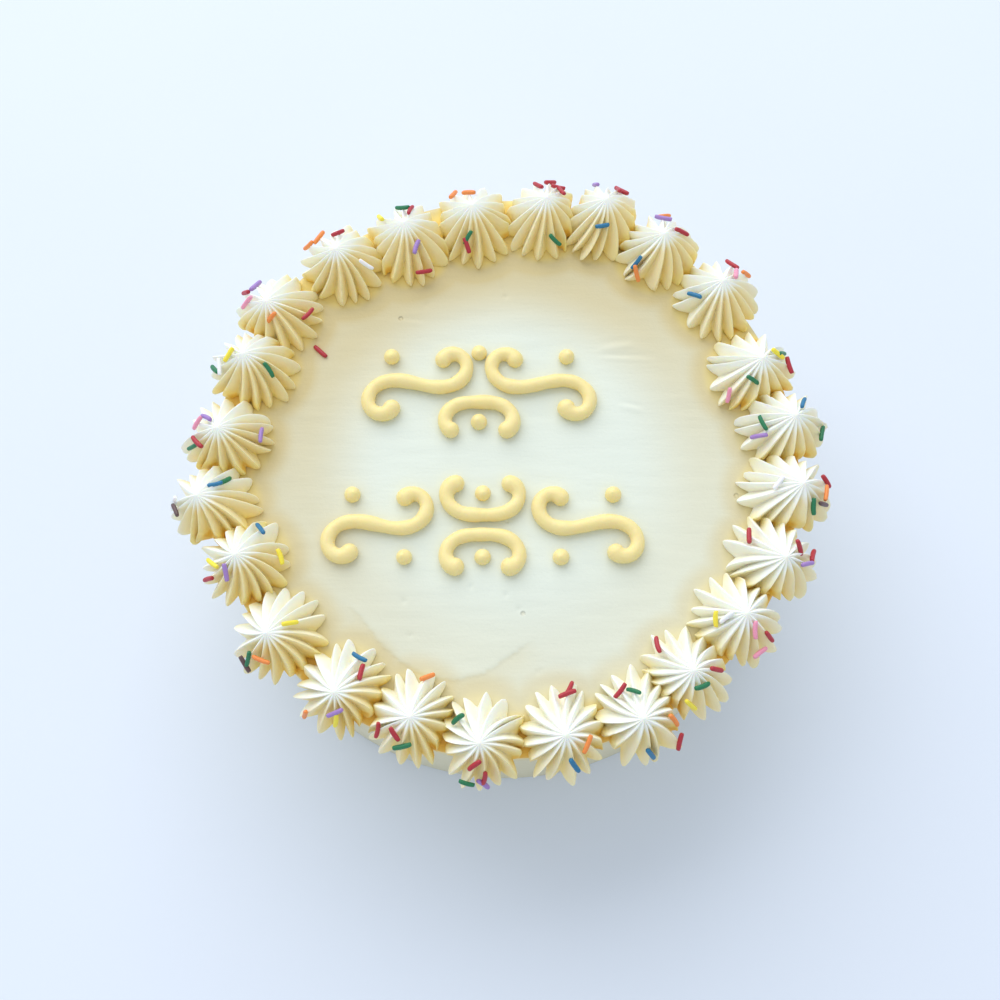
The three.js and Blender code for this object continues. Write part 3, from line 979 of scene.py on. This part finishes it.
def strands_mesh(name, centres, axes, seed):
    """Many sugar strands as one mesh: rods with round ends, each a little bent.

    Along a strand from -1 to 1 the radius is a superellipse of power 5, and the middle bows
    aside by a parabola.
    """
    sizes = bpy.context.scene.cake_sizes
    rng = np.random.default_rng(seed)
    count = len(centres)
    along = -np.cos(np.linspace(0, math.pi, 12))[1:-1]
    girth = (1 - np.abs(along) ** 5) ** 0.2 * sizes.sprinkle_radius
    turn = np.linspace(0, TURN, 10, endpoint=False)
    length = sizes.sprinkle_length * rng.uniform(0.86, 1.06, count)
    thick = rng.uniform(0.85, 1.0, count)
    bow = rng.uniform(-0.35, 0.35, count) * sizes.sprinkle_radius
    spare = np.where(np.abs(axes[:, 2:]) < 0.9, [[0, 0, 1]], [[1, 0, 0]])
    first = np.cross(spare, axes)
    first /= np.linalg.norm(first, axis=1, keepdims=True)
    second = np.cross(axes, first)
    spine = (
        centres[:, None]
        + axes[:, None] * (along * length[:, None] / 2)[..., None]
        + first[:, None] * (bow[:, None] * (1 - along**2))[..., None]
    )
    wide = (thick[:, None] * girth)[..., None, None]
    grid = (
        spine[:, :, None]
        + first[:, None, None] * wide * np.cos(turn)[:, None]
        + second[:, None, None] * wide * np.sin(turn)[:, None]
    )
    shells = [wrapped_shell(one) for one in grid]
    size = len(shells[0][0])
    vertices = np.concatenate([shell[0] for shell in shells])
    quads = np.concatenate([shell[1] + size * k for k, shell in enumerate(shells)])
    triangles = np.concatenate([shell[2] + size * k for k, shell in enumerate(shells)])
    return shell_mesh(name, vertices, quads, triangles)


# ---- operators ----


class CAKE_OT_ice(bpy.types.Operator):
    """Coats the cake in smooth butter cream"""

    bl_idname = "cake.ice"
    bl_label = "Ice the Cake"

    def execute(self, context):
        add_piece(iced_cake(), smooth_icing_finish(), "smooth_icing", "cake")
        return {"FINISHED"}


class CAKE_OT_pipe_rosettes(bpy.types.Operator):
    """Pipes the ring of ridged rosettes round the top edge"""

    bl_idname = "cake.pipe_rosettes"
    bl_label = "Pipe the Rosettes"

    def execute(self, context):
        cream = piped_cream_finish()
        for index, node in enumerate(ROSETTE_NODES):
            add_piece(Rosette(index).mesh(), cream, "piped_cream", node)
        return {"FINISHED"}


class CAKE_OT_pipe_scrolls(bpy.types.Operator):
    """Pipes the two rows of scrollwork on the top"""

    bl_idname = "cake.pipe_scrolls"
    bl_label = "Pipe the Scrollwork"

    def execute(self, context):
        cream = yellow_cream_finish()
        for row_name, row in (("upper", UPPER_ROW), ("lower", LOWER_ROW)):
            middle = row["middle"]
            for k, stroke in enumerate(row["strokes"], 1):
                node = f"{row_name}_scroll_{k}"
                mesh = rope_mesh(f"piped_{node}", stroke_path(*stroke, middle), seed=40 + k)
                add_piece(mesh, cream, "yellow_cream", node)
            for k, (x, y) in enumerate(row["pearls"], 1):
                node = f"{row_name}_pearl_{k}"
                mesh = pearl_mesh(f"piped_{node}", middle[0] + x, middle[1] + y, seed=60 + k)
                add_piece(mesh, cream, "yellow_cream", node)
        return {"FINISHED"}


class CAKE_OT_strew_sprinkles(bpy.types.Operator):
    """Strews the sugar strands, one piece for each colour"""

    bl_idname = "cake.strew_sprinkles"
    bl_label = "Strew the Sprinkles"

    def execute(self, context):
        centres, axes = sprinkle_places([Rosette(index) for index in range(ROSETTES)])
        rng = np.random.default_rng(5)
        shares = np.array([share for share, _ in SPRINKLE_COLOURS.values()], float)
        bounds = np.cumsum(shares / shares.sum()) * len(centres)
        kinds = rng.permutation(np.searchsorted(bounds, np.arange(len(centres)), side="right"))
        kinds[-1] = 0  # the one on the plain top is of the first colour
        for kind, (name, (_, colour)) in enumerate(SPRINKLE_COLOURS.items()):
            chosen = kinds == kind
            mesh = strands_mesh(f"sprinkles_{name}", centres[chosen], axes[chosen], 80 + kind)
            add_piece(mesh, sugar_finish(name, colour), None)
        return {"FINISHED"}


class CAKE_OT_set_stage(bpy.types.Operator):
    """Sets the floor, the soft daylight and the camera"""

    bl_idname = "cake.set_stage"
    bl_label = "Set the Stage"

    def execute(self, context):
        stage = context.scene.cake_stage
        corners = stage.floor_reach * np.array([[-1, -1, 0], [1, -1, 0], [1, 1, 0], [-1, 1, 0]])
        mesh = shell_mesh("floor", corners, np.array([[0, 1, 2, 3]]), np.zeros((0, 3), int))
        mesh.materials.append(floor_finish())
        floor = bpy.data.objects.new("floor", mesh)
        context.scene.collection.objects.link(floor)

        world = bpy.data.worlds.new("soft_room")
        world.use_nodes = True
        background = world.node_tree.nodes["Background"]
        background.inputs["Color"].default_value = (*stage.room_colour, 1)
        background.inputs["Strength"].default_value = stage.room_strength
        context.scene.world = world

        window = bpy.data.lights.new("window", "AREA")
        window.shape = "RECTANGLE"
        window.size, window.size_y = stage.window_size
        window.energy = stage.window_power
        window.color = stage.window_colour
        lamp = bpy.data.objects.new("window", window)
        lamp.location = stage.window_place
        lamp.rotation_euler = Vector(lamp.location).to_track_quat("Z", "Y").to_euler()
        context.scene.collection.objects.link(lamp)

        camera = bpy.data.cameras.new("camera")
        camera.sensor_width = 36
        camera.lens = stage.lens
        camera.clip_start, camera.clip_end = 0.01, 50
        eye = bpy.data.objects.new("camera", camera)
        eye.location = (stage.camera_side, -stage.camera_front, stage.camera_height)
        eye.rotation_euler = (stage.camera_tilt, 0, 0)
        context.scene.collection.objects.link(eye)
        context.scene.camera = eye
        context.scene.view_settings.view_transform = "Standard"
        return {"FINISHED"}


class CAKE_PT_panel(bpy.types.Panel):
    """Lists the steps of making the cake"""

    bl_idname = "CAKE_PT_panel"
    bl_label = "Birthday Cake"
    bl_space_type = "VIEW_3D"
    bl_region_type = "UI"
    bl_category = "Cake"

    def draw(self, context):
        for operator in OPERATORS:
            self.layout.operator(operator.bl_idname)


SETTINGS = {"cake_sizes": CakeSizes, "cake_colours": CakeColours, "cake_stage": StageSettings}
OPERATORS = (
    CAKE_OT_ice,
    CAKE_OT_pipe_rosettes,
    CAKE_OT_pipe_scrolls,
    CAKE_OT_strew_sprinkles,
    CAKE_OT_set_stage,
)


def register():
    """Makes the settings, operators and panel known to Blender."""
    for name, group in SETTINGS.items():
        bpy.utils.register_class(group)
        setattr(bpy.types.Scene, name, bpy.props.PointerProperty(type=group))
    for kind in (*OPERATORS, CAKE_PT_panel):
        bpy.utils.register_class(kind)


def unregister():
    """Takes them away again."""
    for kind in (CAKE_PT_panel, *reversed(OPERATORS)):
        bpy.utils.unregister_class(kind)
    for name, group in reversed(SETTINGS.items()):
        delattr(bpy.types.Scene, name)
        bpy.utils.unregister_class(group)


def main():
    """Makes the whole cake."""
    register()
    bpy.ops.cake.set_stage()
    bpy.ops.cake.ice()
    bpy.ops.cake.pipe_rosettes()
    bpy.ops.cake.pipe_scrolls()
    bpy.ops.cake.strew_sprinkles()
    bpy.context.view_layer.update()


if __name__ == "__main__":
    main()
